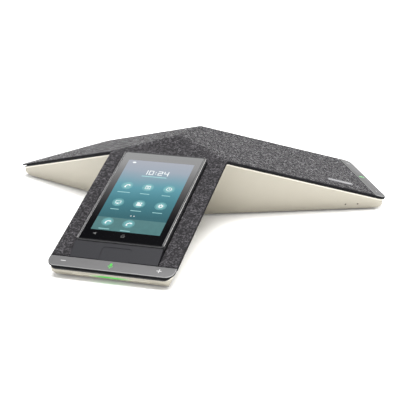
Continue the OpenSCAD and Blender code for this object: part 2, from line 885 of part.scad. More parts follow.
ribbon(LEFT, 14, 175, 13.5, board_z);  // ribbon_left
main_board();
processor_shield();
lan_transformer();
lan_jack();
usb_a_jack();
micro_usb_jack();
lock_plate();
wifi_antennas();
speaker_basket();
speaker_magnet();
speaker_cone();
voice_coil();
speaker_surround();
speaker_gasket();
speaker_enclosure();
housing_screws();
board_screws();
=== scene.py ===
import math

import bmesh
import bpy
import numpy as np
from mathutils import Matrix, Vector
from mathutils.geometry import delaunay_2d_cdt


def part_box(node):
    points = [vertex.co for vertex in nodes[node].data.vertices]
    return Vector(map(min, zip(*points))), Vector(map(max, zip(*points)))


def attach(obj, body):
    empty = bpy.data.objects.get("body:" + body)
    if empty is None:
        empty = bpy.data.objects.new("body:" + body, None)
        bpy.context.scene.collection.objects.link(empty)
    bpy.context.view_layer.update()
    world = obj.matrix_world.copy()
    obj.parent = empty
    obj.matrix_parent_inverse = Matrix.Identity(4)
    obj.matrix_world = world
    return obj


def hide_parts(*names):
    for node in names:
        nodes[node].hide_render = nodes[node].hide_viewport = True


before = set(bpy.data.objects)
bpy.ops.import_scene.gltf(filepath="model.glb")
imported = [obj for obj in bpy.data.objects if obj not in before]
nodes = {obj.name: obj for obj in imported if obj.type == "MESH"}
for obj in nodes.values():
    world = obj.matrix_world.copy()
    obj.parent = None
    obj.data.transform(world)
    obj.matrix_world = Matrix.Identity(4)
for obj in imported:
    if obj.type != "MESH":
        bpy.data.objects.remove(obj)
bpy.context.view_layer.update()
MM = 0.001

# ---------- the phone's main sizes in millimetres, most of them read from its CAD nodes ----------

fabric_low, fabric_high = (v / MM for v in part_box("fabric_cover"))
bar_low, bar_high = (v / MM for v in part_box("control_bar_front"))
gasket_low, gasket_high = (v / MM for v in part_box("speaker_gasket"))
ARMS = {"front": -90.0, "right": 30.0, "left": 150.0}
HUB_Y = (gasket_low.y + gasket_high.y) / 2
APEX = fabric_high.z
REACH = HUB_Y - bar_low.y
HALF = bar_high.x
FABRIC_END = HUB_Y - fabric_low.y
BAR_START = HUB_Y - bar_high.y
FALL = (APEX - bar_high.z) / BAR_START
TILT = math.atan(FALL)
VALLEY_FILLET = 5.0
SHELL_DROP = 3.8
RIM_HALF = HALF - 1.4
WALL_LEAN = 0.47
BAR_CORNER = 7.5
RIDGE_SOFT = 1.6

# ---------- frames ----------


def arm_frame(arm):
    """X out along the arm, Y to the left of someone looking out, Z up, in millimetres."""
    return Matrix.Translation((0, HUB_Y, 0)) @ Matrix.Rotation(math.radians(ARMS[arm]), 4, "Z")


def slope_frame(arm):
    """X down the sloping top from the apex, Z square to the top."""
    return arm_frame(arm) @ Matrix.Translation((0, 0, APEX)) @ Matrix.Rotation(TILT, 4, "Y")


def wall_frame(arm, side):
    """On an arm's leaning side wall: X out along it, Y out of its face, Z up it."""
    flare = math.atan(WALL_LEAN * FALL)
    lean = math.atan(WALL_LEAN * math.cos(flare))
    base = (RIM_HALF - WALL_LEAN * (APEX - SHELL_DROP)) * math.cos(flare)
    return (arm_frame(arm) @ Matrix.Diagonal((1, side, 1, 1)) @ Matrix.Rotation(flare, 4, "Z")
            @ Matrix.Translation((0, base, 0)) @ Matrix.Rotation(-lean, 4, "X"))


def roof(x, y):
    """Height of the cloth's top over a point of the hub's plan, with softly rounded ridges."""
    runs = [x * math.cos(math.radians(a)) + y * math.sin(math.radians(a)) for a in ARMS.values()]
    top = np.maximum.reduce(runs)
    return APEX - FALL * (top + RIDGE_SOFT * np.log(sum(np.exp((r - top) / RIDGE_SOFT) for r in runs)))


# ---------- outlines ----------


def turned(points, degrees):
    a = math.radians(degrees)
    c, s = math.cos(a), math.sin(a)
    return [(x * c - y * s, x * s + y * c) for x, y in points]


def arc(x, y, radius, start, end, steps):
    angles = [math.radians(start + (end - start) * i / steps) for i in range(steps + 1)]
    return [(x + radius * math.cos(a), y + radius * math.sin(a)) for a in angles]


def spread(points, step):
    """The same closed outline with its long sides divided."""
    out = []
    for (x0, y0), (x1, y1) in zip(points, points[1:] + points[:1]):
        n = max(1, round(math.hypot(x1 - x0, y1 - y0) / step))
        out += [(x0 + (x1 - x0) * i / n, y0 + (y1 - y0) * i / n) for i in range(n)]
    return out


def inset(points, distance):
    """A closed anticlockwise outline moved inwards."""
    p = np.array(points)
    side = np.roll(p, -1, 0) - p
    side /= np.linalg.norm(side, axis=1)[:, None]
    normal = np.stack([-side[:, 1], side[:, 0]], 1)
    before = np.roll(normal, 1, 0)
    meet = normal + before
    return p + distance * meet / (1 + (normal * before).sum(1))[:, None]


def round_rect(x0, x1, half, radius, steps=8):
    corners = ((x1 - radius, half - radius, 0), (x0 + radius, half - radius, 90),
               (x0 + radius, radius - half, 180), (x1 - radius, radius - half, 270))
    return [p for x, y, a in corners for p in arc(x, y, radius, a, a + 90, steps)]


def star_outline(end, notch=None):
    """The three arms in plan round the hub, with filleted valleys. The front arm's end takes a notch."""
    valley = HALF / math.sin(math.radians(60))
    far = valley + VALLEY_FILLET / math.sin(math.radians(60))
    out = []
    for arm, angle in ARMS.items():
        local = [(end, -HALF)]
        if arm == "front" and notch:
            start, half, radius = notch
            local += [(end, -half)]
            local += arc(start + radius, radius - half, radius, 270, 180, 5)
            local += arc(start + radius, half - radius, radius, 180, 90, 5)
            local += [(end, half)]
        local += [(end, HALF)]
        out += turned(local, angle)
        out += turned(arc(far, 0, VALLEY_FILLET, 210, 150, 8), angle + 60)
    return out


# ---------- meshes ----------


def loft(rings, close=False, cap_first=False, cap_last=False):
    """Faces through rings of equal length. close joins the last ring to the first."""
    verts = [tuple(p) for ring in rings for p in ring]
    n = len(rings[0])
    faces = []
    pairs = [(i, i + 1) for i in range(len(rings) - 1)] + ([(len(rings) - 1, 0)] if close else [])
    for a, b in pairs:
        faces += [(a * n + i, a * n + (i + 1) % n, b * n + (i + 1) % n, b * n + i) for i in range(n)]
    if cap_first:
        faces.append(tuple(reversed(range(n))))
    if cap_last:
        faces.append(tuple(range((len(rings) - 1) * n, len(rings) * n)))
    return verts, faces


def join(*meshes):
    verts, faces = [], []
    for v, f in meshes:
        base = len(verts)
        verts += list(v)
        faces += [tuple(i + base for i in face) for face in f]
    return verts, faces


def piece(name, mesh, body, material, place=None, stands_for=(), smooth=40, extra=()):
    """A named piece from vertices in millimetres, which rides on a body."""
    verts, faces = mesh
    data = bpy.data.meshes.new(name)
    at = place or Matrix.Identity(4)
    data.from_pydata([(at @ Vector(v)) * MM for v in verts], [], faces)
    data.materials.append(material)
    for m in extra:
        data.materials.append(m)
    data.validate()
    data.update()
    obj = bpy.data.objects.new(name, data)
    bpy.context.scene.collection.objects.link(obj)
    if smooth:
        data.shade_smooth()
        data.set_sharp_from_angle(angle=math.radians(smooth))
    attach(obj, body)
    if stands_for:
        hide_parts(*stands_for)
    return obj


def outward(obj):
    """Turns a closed mesh's faces outward."""
    mesh = bmesh.new()
    mesh.from_mesh(obj.data)
    bmesh.ops.recalc_face_normals(mesh, faces=mesh.faces)
    mesh.to_mesh(obj.data)
    mesh.free()
    return obj


def plate(outline, profile, cap=True):
    """An outline swept through (inset, height) steps, closed at both ends."""
    rings = [[(x, y, z) for x, y in inset(outline, d)] for d, z in profile]
    return loft(rings, cap_first=cap, cap_last=cap)


def disc(x, y, radius, z0, z1, steps=24):
    return plate(arc(x, y, radius, 0, 360, steps)[:-1], [(0, z0), (0, z1)])


def band(x, y, outer, inner, z0, z1, steps=32, start=0, end=360):
    """A flat ring, or part of one."""
    full = end - start >= 360
    a = arc(x, y, outer, start, end, steps)
    b = arc(x, y, inner, start, end, steps)
    if not full:
        outline = a + b[::-1]
        return plate(outline, [(0, z0), (0, z1)])
    rings = [[(px, py, z0) for px, py in a[:-1]], [(px, py, z1) for px, py in a[:-1]],
             [(px, py, z1) for px, py in b[:-1]], [(px, py, z0) for px, py in b[:-1]]]
    return loft(rings, close=True)


def tablet(x0, x1, y0, y1, radius, z0, z1):
    outline = [(x, y + (y0 + y1) / 2) for x, y in round_rect(x0, x1, (y1 - y0) / 2, radius, 4)]
    return plate(outline, [(0, z0), (0, z1)])


# ---------- shader groups ----------


class Shader:
    """Adds nodes to a tree in a few words."""

    def __init__(self, tree):
        self.tree = tree

    def add(self, kind, values=None, **settings):
        node = self.tree.nodes.new(kind)
        for key, value in settings.items():
            setattr(node, key, value)
        for key, value in (values or {}).items():
            socket = node.inputs[key]
            if isinstance(value, bpy.types.NodeSocket):
                self.tree.links.new(value, socket)
            else:
                socket.default_value = value
        return node

    def math(self, operation, a, b=0.0, clamp=False):
        return self.add("ShaderNodeMath", {0: a, 1: b}, operation=operation, use_clamp=clamp).outputs[0]

    def mix(self, amount, a, b, blend="MIX"):
        node = self.add("ShaderNodeMix", data_type="RGBA", blend_type=blend)
        for key, value in (("Factor_Float", amount), ("A_Color", a), ("B_Color", b)):
            socket = next(s for s in node.inputs if s.identifier == key)
            if isinstance(value, bpy.types.NodeSocket):
                self.tree.links.new(value, socket)
            else:
                socket.default_value = value
        return next(s for s in node.outputs if s.identifier == "Result_Color")

    def spread(self, value, low, high, to_low=0.0, to_high=1.0):
        node = self.add("ShaderNodeMapRange", {"Value": value, "From Min": low, "From Max": high,
                                               "To Min": to_low, "To Max": to_high})
        return node.outputs["Result"]

    def noise(self, vector, scale, detail=3.0, roughness=0.5):
        node = self.add("ShaderNodeTexNoise", {"Vector": vector, "Scale": scale, "Detail": detail,
                                               "Roughness": roughness})
        return node.outputs[0]


def effect(name, inputs, outputs, build):
    """A shader group with named inputs and outputs."""
    tree = bpy.data.node_groups.new(name, "ShaderNodeTree")
    kinds = {"f": "NodeSocketFloat", "c": "NodeSocketColor", "v": "NodeSocketVector"}
    for socket, kind, default in inputs:
        made = tree.interface.new_socket(name=socket, in_out="INPUT", socket_type=kinds[kind])
        made.default_value = default
    for socket, kind in outputs:
        tree.interface.new_socket(name=socket, in_out="OUTPUT", socket_type=kinds[kind])
    shader = Shader(tree)
    given = tree.nodes.new("NodeGroupInput").outputs
    made = build(shader, given)
    out = tree.nodes.new("NodeGroupOutput")
    for socket, value in made.items():
        tree.links.new(value, out.inputs[socket])
    return tree


def place_coords(shader):
    return shader.add("ShaderNodeTexCoord").outputs["Object"]


def build_moulded(s, given):
    where = place_coords(s)
    fine = s.noise(where, given["Grain"], 2.0)
    broad = s.noise(where, given["Cloud"], 3.0)
    tone = s.mix(s.spread(broad, 0.3, 0.7), given["Color"], given["Second color"])
    dusty = s.math("MULTIPLY", s.spread(s.noise(where, 900.0, 4.0), 0.62, 0.8), given["Dust"])
    return {
        "Color": s.mix(dusty, tone, (0.6, 0.59, 0.57, 1)),
        "Roughness": s.math("ADD", given["Roughness"],
                            s.math("MULTIPLY", s.math("SUBTRACT", broad, 0.5), given["Smudge"])),
        "Height": fine,
    }


moulded = effect("moulded_surface", [
    ("Color", "c", (0.5, 0.5, 0.5, 1)), ("Second color", "c", (0.45, 0.45, 0.45, 1)),
    ("Grain", "f", 2500.0), ("Cloud", "f", 30.0), ("Roughness", "f", 0.5), ("Smudge", "f", 0.15),
    ("Dust", "f", 0.0),
], [("Color", "c"), ("Roughness", "f"), ("Height", "f")], build_moulded)


def build_weave(s, given):
    where = place_coords(s)
    wobble = s.add("ShaderNodeTexNoise", {"Vector": where, "Scale": 260.0, "Detail": 2.0}).outputs["Color"]
    shifted = s.add("ShaderNodeVectorMath", {0: where, 1: s.add(
        "ShaderNodeVectorMath", {0: wobble, "Scale": given["Wander"]}, operation="SCALE").outputs[0]},
        operation="ADD").outputs[0]
    axes = s.add("ShaderNodeSeparateXYZ", {"Vector": shifted}).outputs
    turn = s.math("MULTIPLY", given["Threads"], math.pi)
    warp = s.math("SINE", s.math("MULTIPLY", axes[0], turn))
    weft = s.math("SINE", s.math("MULTIPLY", axes[1], turn))
    cross = s.math("MULTIPLY", warp, weft)
    over = s.math("MAXIMUM", cross, s.math("MULTIPLY", cross, -0.7))
    heather = s.noise(where, given["Heather"], 2.0, 0.5)
    flecks = s.noise(shifted, given["Flecks"], 2.0, 0.6)
    tone = s.math("ADD", s.math("MULTIPLY", s.spread(heather, 0.42, 0.60), 0.66),
                  s.math("MULTIPLY", s.spread(flecks, 0.42, 0.62), 0.40))
    mottle = s.spread(s.noise(where, 210.0, 2.0, 0.6), 0.38, 0.62, 0.55, 1.45)
    tone = s.math("MULTIPLY", s.math("POWER", tone, 1.9), mottle)
    # The colour is lighter on the raised threads and darker in the gaps between them: painted highlight and
    # painted shade, from the same pattern as the bump.
    lit = s.math("MULTIPLY", s.math("ADD", 0.72, s.math("MULTIPLY", over, 0.28)), tone)
    return {
        "Color": s.mix(s.math("MINIMUM", lit, 1.0), given["Dark"], given["Light"]),
        "Height": s.math("ADD", over, s.math("MULTIPLY", flecks, 0.8)),
        "Roughness": s.spread(heather, 0.2, 0.8, 0.8, 0.95),
        "Fuzz": s.math("MULTIPLY", tone, given["Fuzz"]),
    }


woven = effect("woven_threads", [
    ("Threads", "f", 1100.0), ("Heather", "f", 560.0), ("Flecks", "f", 1300.0), ("Wander", "f", 0.0006),
    ("Dark", "c", (0.02, 0.02, 0.022, 1)), ("Light", "c", (0.16, 0.155, 0.165, 1)), ("Fuzz", "f", 0.6),
], [("Color", "c"), ("Height", "f"), ("Roughness", "f"), ("Fuzz", "f")], build_weave)


def build_brushed(s, given):
    where = place_coords(s)
    long = s.add("ShaderNodeMapping", {"Vector": where, "Scale": given["Stretch"]}).outputs[0]
    lines = s.noise(long, 900.0, 3.0, 0.7)
    return {
        "Color": s.mix(s.spread(lines, 0.3, 0.7), given["Color"], given["Second color"]),
        "Roughness": s.spread(lines, 0.2, 0.8, 0.22, 0.42),
        "Height": lines,
    }


brushed = effect("brushed_lines", [
    ("Color", "c", (0.6, 0.6, 0.62, 1)), ("Second color", "c", (0.5, 0.5, 0.52, 1)),
    ("Stretch", "v", (0.05, 1.0, 1.0)),
], [("Color", "c"), ("Roughness", "f"), ("Height", "f")], build_brushed)


def build_tracks(s, given):
    where = place_coords(s)
    cells = s.add("ShaderNodeTexVoronoi", {"Vector": where, "Scale": given["Pitch"]},
                  feature="F1", distance="MANHATTAN")
    track = s.spread(cells.outputs["Distance"], 0.32, 0.36)
    pads = s.math("LESS_THAN", cells.outputs["Distance"], 0.1)
    base = s.mix(track, given["Color"], given["Track"])
    return {"Color": s.mix(pads, base, given["Pad"]), "Height": track,
            "Roughness": s.spread(s.noise(where, 60.0), 0.3, 0.7, 0.3, 0.45)}


tracks = effect("board_tracks", [
    ("Pitch", "f", 260.0), ("Color", "c", (0.01, 0.09, 0.05, 1)), ("Track", "c", (0.02, 0.16, 0.08, 1)),
    ("Pad", "c", (0.55, 0.5, 0.35, 1)),
], [("Color", "c"), ("Height", "f"), ("Roughness", "f")], build_tracks)


# ---------- materials ----------


def surface_of(mat):
    return next(n for n in mat.node_tree.nodes if n.type == "BSDF_PRINCIPLED")


def new_material(name):
    """A fresh material, with the maker of its nodes and its surface."""
    mat = bpy.data.materials.new(name)
    mat.use_nodes = True
    return mat, Shader(mat.node_tree), surface_of(mat)


def material(name, group, values, bump=0.0, bump_reach=0.0002, **principled):
    """A Principled material fed by one of the groups, with its own plain values on its sockets."""
    mat, s, surface = new_material(name)
    link = mat.node_tree.links.new
    used = s.add("ShaderNodeGroup", node_tree=group)
    for key, value in values.items():
        used.inputs[key].default_value = value
    link(used.outputs["Color"], surface.inputs["Base Color"])
    link(used.outputs["Roughness"], surface.inputs["Roughness"])
    if "Fuzz" in values:
        link(used.outputs["Fuzz"], surface.inputs["Sheen Weight"])
    if bump:
        raised = s.add("ShaderNodeBump", {"Height": used.outputs["Height"], "Strength": bump,
                                          "Distance": bump_reach})
        link(raised.outputs[0], surface.inputs["Normal"])
    for key, value in principled.items():
        surface.inputs[key.replace("_", " ")].default_value = value
    return mat


def rgb(r, g, b):
    return (r, g, b, 1.0)


fabric_cloth = material("charcoal_cloth", woven, {
    "Dark": rgb(0.004, 0.0035, 0.0045), "Light": rgb(0.058, 0.0535, 0.06), "Threads": 900.0,
    "Fuzz": 0.95,
}, bump=0.6, bump_reach=0.0004, Sheen_Roughness=0.3, Specular_IOR_Level=0.25)
# Near-black painted shade: used on the cloth's turned-under edge, the control bars' side walls and the discs
# in the microphone holes.
painted_shade_black = material("painted_shade_black", moulded, {
    "Color": rgb(0.008, 0.008, 0.009), "Second color": rgb(0.012, 0.012, 0.013), "Grain": 1800.0,
    "Roughness": 0.8}, bump=0.3, Specular_IOR_Level=0.06)
shell_plastic = material("champagne_plastic", moulded, {
    "Color": rgb(0.368, 0.344, 0.284), "Second color": rgb(0.377, 0.352, 0.291), "Grain": 1800.0,
    "Cloud": 12.0, "Roughness": 0.42, "Smudge": 0.05,
}, bump=0.08, bump_reach=0.0001, Metallic=0.1)
bar_plastic = material("bar_grey_satin", moulded, {
    "Color": rgb(0.08, 0.079, 0.08), "Second color": rgb(0.074, 0.073, 0.074), "Grain": 2600.0,
    "Cloud": 40.0, "Roughness": 0.42, "Smudge": 0.15, "Dust": 0.03,
}, bump=0.1, bump_reach=0.0001, Specular_IOR_Level=0.35)
# A lighter finish for the control bars' rounded top edge: a painted highlight.
bar_rim_highlight = material("bar_rim_painted_highlight", brushed, {
    "Color": rgb(0.2, 0.2, 0.2), "Second color": rgb(0.17, 0.17, 0.17)}, bump=0.05, Metallic=0.2)
black_plastic = material("black_plastic", moulded, {
    "Color": rgb(0.012, 0.012, 0.013), "Second color": rgb(0.02, 0.02, 0.021), "Grain": 2200.0,
    "Roughness": 0.5, "Dust": 0.03}, bump=0.15, bump_reach=0.0001)
fascia_plastic = material("fascia_satin", moulded, {
    "Color": rgb(0.014, 0.014, 0.0165), "Second color": rgb(0.0155, 0.0155, 0.018), "Grain": 2600.0,
    "Roughness": 0.5, "Smudge": 0.1}, bump=0.08, bump_reach=0.0001, Specular_IOR_Level=0.11)
glass_black = material("black_glass", moulded, {
    "Color": rgb(0.002, 0.002, 0.0025), "Second color": rgb(0.003, 0.003, 0.0035), "Grain": 400.0,
    "Cloud": 14.0, "Roughness": 0.04, "Smudge": 0.03}, Coat_Weight=0.3, Coat_Roughness=0.02)
# Lit and shaded copies of one edge finish: a painted highlight for the display's left and top chamfers,
# painted shade for its right chamfer.
edge_highlight_paint = material("edge_highlight_paint", brushed, {
    "Color": rgb(0.85, 0.84, 0.82), "Second color": rgb(0.75, 0.74, 0.72)}, bump=0.02, Metallic=0.5)
edge_shade_paint = material("edge_shade_paint", brushed, {
    "Color": rgb(0.2, 0.196, 0.19), "Second color": rgb(0.16, 0.157, 0.152)}, bump=0.02, Metallic=0.8)
bezel_metal = material("bezel_dark_metal", brushed, {
    "Color": rgb(0.05, 0.05, 0.052), "Second color": rgb(0.035, 0.035, 0.037)}, bump=0.05, Metallic=0.7)
sheet_steel = material("sheet_steel", brushed, {}, bump=0.1, Metallic=1.0)
screw_steel = material("zinc_screw", brushed, {
    "Color": rgb(0.5, 0.5, 0.48), "Second color": rgb(0.38, 0.38, 0.37), "Stretch": (1.0, 1.0, 1.0)},
    bump=0.2, Metallic=1.0)
magnet_plate = material("magnet_plating", brushed, {
    "Color": rgb(0.3, 0.3, 0.31), "Second color": rgb(0.2, 0.2, 0.21), "Stretch": (1.0, 1.0, 0.2)},
    bump=0.1, Metallic=0.9)
foot_rubber = material("foot_rubber", moulded, {
    "Color": rgb(0.16, 0.15, 0.13), "Second color": rgb(0.2, 0.19, 0.165), "Grain": 1500.0,
    "Roughness": 0.75, "Dust": 0.12}, bump=0.3, bump_reach=0.0002)
black_rubber = material("black_rubber", moulded, {
    "Color": rgb(0.015, 0.015, 0.015), "Second color": rgb(0.03, 0.03, 0.03), "Grain": 1500.0,
    "Roughness": 0.7, "Dust": 0.1}, bump=0.3)
paper_cone = material("paper_cone", moulded, {
    "Color": rgb(0.02, 0.02, 0.021), "Second color": rgb(0.04, 0.039, 0.037), "Grain": 700.0,
    "Cloud": 120.0, "Roughness": 0.8, "Dust": 0.08}, bump=0.6)
coil_wire = material("coil_wire", brushed, {
    "Color": rgb(0.5, 0.22, 0.07), "Second color": rgb(0.35, 0.13, 0.04), "Stretch": (1.0, 1.0, 6.0)},
    bump=0.4, Metallic=0.8)
board_green = material("board_green", tracks, {}, bump=0.2, bump_reach=0.0001)
chip_black = material("moulded_chip", moulded, {
    "Color": rgb(0.02, 0.02, 0.021), "Second color": rgb(0.03, 0.03, 0.03), "Grain": 3000.0,
    "Roughness": 0.55}, bump=0.3)
flex_amber = material("flat_cable", brushed, {
    "Color": rgb(0.45, 0.2, 0.03), "Second color": rgb(0.33, 0.14, 0.02), "Stretch": (1.0, 0.02, 1.0)},
    bump=0.15)
switch_plastic = material("switch_plastic", moulded, {
    "Color": rgb(0.6, 0.6, 0.57), "Second color": rgb(0.5, 0.5, 0.47), "Roughness": 0.45}, bump=0.1)
label_foil = material("blank_label", brushed, {
    "Color": rgb(0.62, 0.62, 0.6), "Second color": rgb(0.56, 0.56, 0.54)}, bump=0.03)
badge_metal = material("badge_metal", brushed, {
    "Color": rgb(0.42, 0.42, 0.43), "Second color": rgb(0.35, 0.35, 0.36)}, bump=0.05, Metallic=0.7)


def paint_rim_highlight(mat, depth, color):
    """Paints a highlight into a material's colour: lightens it over the first millimetre below a given depth
    under the sloping top.
    """
    s = Shader(mat.node_tree)
    surface = surface_of(mat)
    plain_color = surface.inputs["Base Color"].links[0].from_socket
    x, y, z = s.add("ShaderNodeSeparateXYZ", {"Vector": place_coords(s)}).outputs
    y = s.math("SUBTRACT", y, HUB_Y * MM)
    runs = []
    for angle in ARMS.values():
        a = math.radians(angle)
        runs.append(s.math("ADD", s.math("MULTIPLY", x, math.cos(a)), s.math("MULTIPLY", y, math.sin(a))))
    run = s.math("MAXIMUM", s.math("MAXIMUM", runs[0], runs[1]), runs[2])
    top = s.math("SUBTRACT", APEX * MM, s.math("MULTIPLY", run, FALL))
    below = s.math("SUBTRACT", top, z)
    rim_highlight_mask = s.spread(below, (depth + 1.5) * MM, (depth + 1.0) * MM)
    mat.node_tree.links.new(s.mix(rim_highlight_mask, plain_color, color), surface.inputs["Base Color"])


# A painted highlight along the top rim of the shell.
paint_rim_highlight(shell_plastic, SHELL_DROP, rgb(0.64, 0.61, 0.53))


def lit(name, color, strength, base=None, roughness=0.3):
    """A light window or a lit part of the screen, slightly uneven as a real one is."""
    mat, s, surface = new_material(name)
    cloud = s.noise(place_coords(s), 120.0, 2.0)
    dim = tuple(0.82 * c for c in color[:3]) + (1.0,)
    glow = s.mix(s.spread(cloud, 0.3, 0.7), color, dim)
    mat.node_tree.links.new(glow, surface.inputs["Emission Color"])
    surface.inputs["Emission Strength"].default_value = strength
    surface.inputs["Base Color"].default_value = base or dim
    surface.inputs["Roughness"].default_value = roughness
    return mat


green_light = lit("green_light", rgb(0.04, 0.6, 0.03), 0.85, base=rgb(0.02, 0.1, 0.02))
pale_green_light = lit("pale_green_light", rgb(0.12, 0.5, 0.14), 0.7)
mark_white = lit("mark_white", rgb(0.42, 0.42, 0.42), 0.15)
# A dimmer copy of the marks' light, for the side arms: painted shade.
mark_shaded = lit("mark_shaded", rgb(0.35, 0.35, 0.35), 0.1)
strip_dark = material("strip_unlit", moulded, {
    "Color": rgb(0.5, 0.47, 0.39), "Second color": rgb(0.52, 0.49, 0.41), "Grain": 2400.0,
    "Cloud": 60.0, "Roughness": 0.35, "Smudge": 0.1}, bump=0.05)


def lit_middle(name, color, strength, reach):
    """A light window that shines only in its middle and fades to the sides."""
    mat = strip_dark.copy()
    mat.name = name
    s = Shader(mat.node_tree)
    surface = surface_of(mat)
    across = s.math("ABSOLUTE", s.add("ShaderNodeSeparateXYZ", {"Vector": place_coords(s)}).outputs[0])
    shine = s.spread(across, reach * MM, 0.3 * reach * MM, 0.0, strength)
    mat.node_tree.links.new(shine, surface.inputs["Emission Strength"])
    middle = s.spread(across, 0.9 * reach * MM, 0.35 * reach * MM)
    plain_color = surface.inputs["Base Color"].links[0].from_socket
    mat.node_tree.links.new(s.mix(middle, plain_color, rgb(0.02, 0.1, 0.02)), surface.inputs["Base Color"])
    surface.inputs["Emission Color"].default_value = color
    return mat


strip_lit = lit_middle("strip_lit", rgb(0.05, 0.62, 0.04), 0.9, 20)
ui_white = lit("screen_white", rgb(0.86, 0.93, 0.94), 0.85, base=rgb(0.1, 0.1, 0.1), roughness=0.08)
ui_ring = lit("screen_ring", rgb(0.08, 0.28, 0.31), 0.8, base=rgb(0.05, 0.1, 0.1), roughness=0.08)
ui_label = lit("screen_label", rgb(0.3, 0.55, 0.57), 0.8, base=rgb(0.05, 0.1, 0.1), roughness=0.08)
ui_dock = lit("screen_dock", rgb(0.06, 0.165, 0.175), 0.8, base=rgb(0.02, 0.04, 0.04), roughness=0.08)
ui_key = lit("screen_key", rgb(0.28, 0.28, 0.28), 0.5, base=rgb(0.03, 0.03, 0.03), roughness=0.08)


def screen_picture_material(top, bottom):
    """The lit picture: pale lavender at the top, through teal, to a deep teal at the bottom."""
    mat, s, surface = new_material("screen_picture")
    where = place_coords(s)
    axes = s.add("ShaderNodeSeparateXYZ", {"Vector": where}).outputs
    haze = s.math("MULTIPLY", s.math("SUBTRACT", s.noise(where, 22.0, 2.0), 0.5), 0.16)
    along = s.math("ADD", s.spread(axes[1], top, bottom), haze)
    ramp = s.add("ShaderNodeValToRGB", {"Fac": along})
    stops = [(0.0, (0.30, 0.30, 0.35)), (0.14, (0.27, 0.30, 0.36)), (0.25, (0.16, 0.28, 0.345)),
             (0.38, (0.055, 0.26, 0.32)), (0.55, (0.022, 0.165, 0.2)), (0.8, (0.012, 0.09, 0.105)),
             (1.0, (0.03, 0.11, 0.12))]
    for i, (at, color) in enumerate(stops):
        stop = ramp.color_ramp.elements[i] if i < 2 else ramp.color_ramp.elements.new(at)
        stop.position = at
        stop.color = (*color, 1)
    mat.node_tree.links.new(ramp.outputs[0], surface.inputs["Emission Color"])
    surface.inputs["Emission Strength"].default_value = 0.95
    surface.inputs["Base Color"].default_value = (0.01, 0.02, 0.025, 1)
    surface.inputs["Roughness"].default_value = 0.08
    return mat


# ---------- CAD pieces that keep their shape ----------

CAD_FINISH = {
    "lower_shell": shell_plastic, "reveal_frame": black_plastic, "top_frame": black_plastic,
    "display_bracket": sheet_steel, "display_flex": flex_amber, "lcd_module": chip_black,
    "fascia_panel": fascia_plastic, "rating_label": label_foil,
    "key_carrier": black_plastic, "rocker_pin": screw_steel, "key_board": board_green,
    "key_switches": switch_plastic, "mic_module": board_green, "ribbon": flex_amber,
    "main_board": board_green, "processor_shield": sheet_steel, "lan_transformer": chip_black,
    "lan_jack": sheet_steel, "usb_a_jack": sheet_steel, "micro_usb_jack": sheet_steel,
    "lock_plate": sheet_steel, "wifi_antennas": board_green, "speaker_basket": sheet_steel,
    "speaker_magnet": magnet_plate, "speaker_cone": paper_cone, "voice_coil": coil_wire,
    "speaker_surround": black_rubber, "speaker_gasket": black_rubber,
    "speaker_enclosure": black_plastic, "housing_screws": screw_steel, "board_screws": screw_steel,
    "light_strip": strip_dark,
}
BREAK_EDGE = {"lower_shell": 0.5, "fascia_panel": 0.25, "light_strip": 0.3, "speaker_enclosure": 0.6,
              "lan_transformer": 0.4, "key_carrier": 0.2}


def finish_cad_nodes():
    for name, node in nodes.items():
        family = name
        for arm in ARMS:
            family = family.removesuffix("_" + arm)
        chosen = CAD_FINISH.get(family)
        if not chosen:
            continue
        if name == "light_strip_front":
            chosen = strip_lit
        node.data.materials.clear()
        node.data.materials.append(chosen)
        weld = node.modifiers.new("weld", "WELD")
        weld.merge_threshold = 0.002 * MM
        if family in BREAK_EDGE:
            soft = node.modifiers.new("broken_edges", "BEVEL")
            soft.width = BREAK_EDGE[family] * MM
            soft.segments = 3
            soft.limit_method = "ANGLE"
            soft.angle_limit = math.radians(38)
            soft.use_clamp_overlap = True
            soft.harden_normals = False
            flat = node.modifiers.new("flat_faces", "WEIGHTED_NORMAL")
            flat.keep_sharp = True
        node.data.shade_smooth()
        node.data.set_sharp_from_angle(angle=math.radians(30))


finish_cad_nodes()

# ---------- fabric cover ----------

SCREEN_START = 39.2
SCREEN_END = 168.6
SCREEN_HALF = 39.7
SCREEN_TOP = 5.0
NOTCH_START = (SCREEN_START - 0.35) * math.cos(TILT)
NOTCH_HALF = SCREEN_HALF + 0.35
EDGE_ROUND = 1.2
HEM_BANDS = 6
CLOTH_PITCH = 3.4


def inside(points, loop):
    """Which of many points lie inside a closed outline."""
    x, y = points[:, 0], points[:, 1]
    hit = np.zeros(len(points), bool)
    for (x0, y0), (x1, y1) in zip(loop, np.roll(loop, -1, 0)):
        if y0 == y1:
            continue
        hit ^= ((y0 > y) != (y1 > y)) & (x < (x1 - x0) * (y - y0) / (y1 - y0) + x0)
    return hit


def clear_of(points, loop):
    """Least distance from each point to an outline."""
    best = np.full(len(points), 1e9)
    for a, b in zip(loop, np.roll(loop, -1, 0)):
        side = b - a
        t = np.clip(((points - a) @ side) / (side @ side), 0, 1)
        best = np.minimum(best, np.linalg.norm(points - (a + t[:, None] * side), axis=1))
    return best


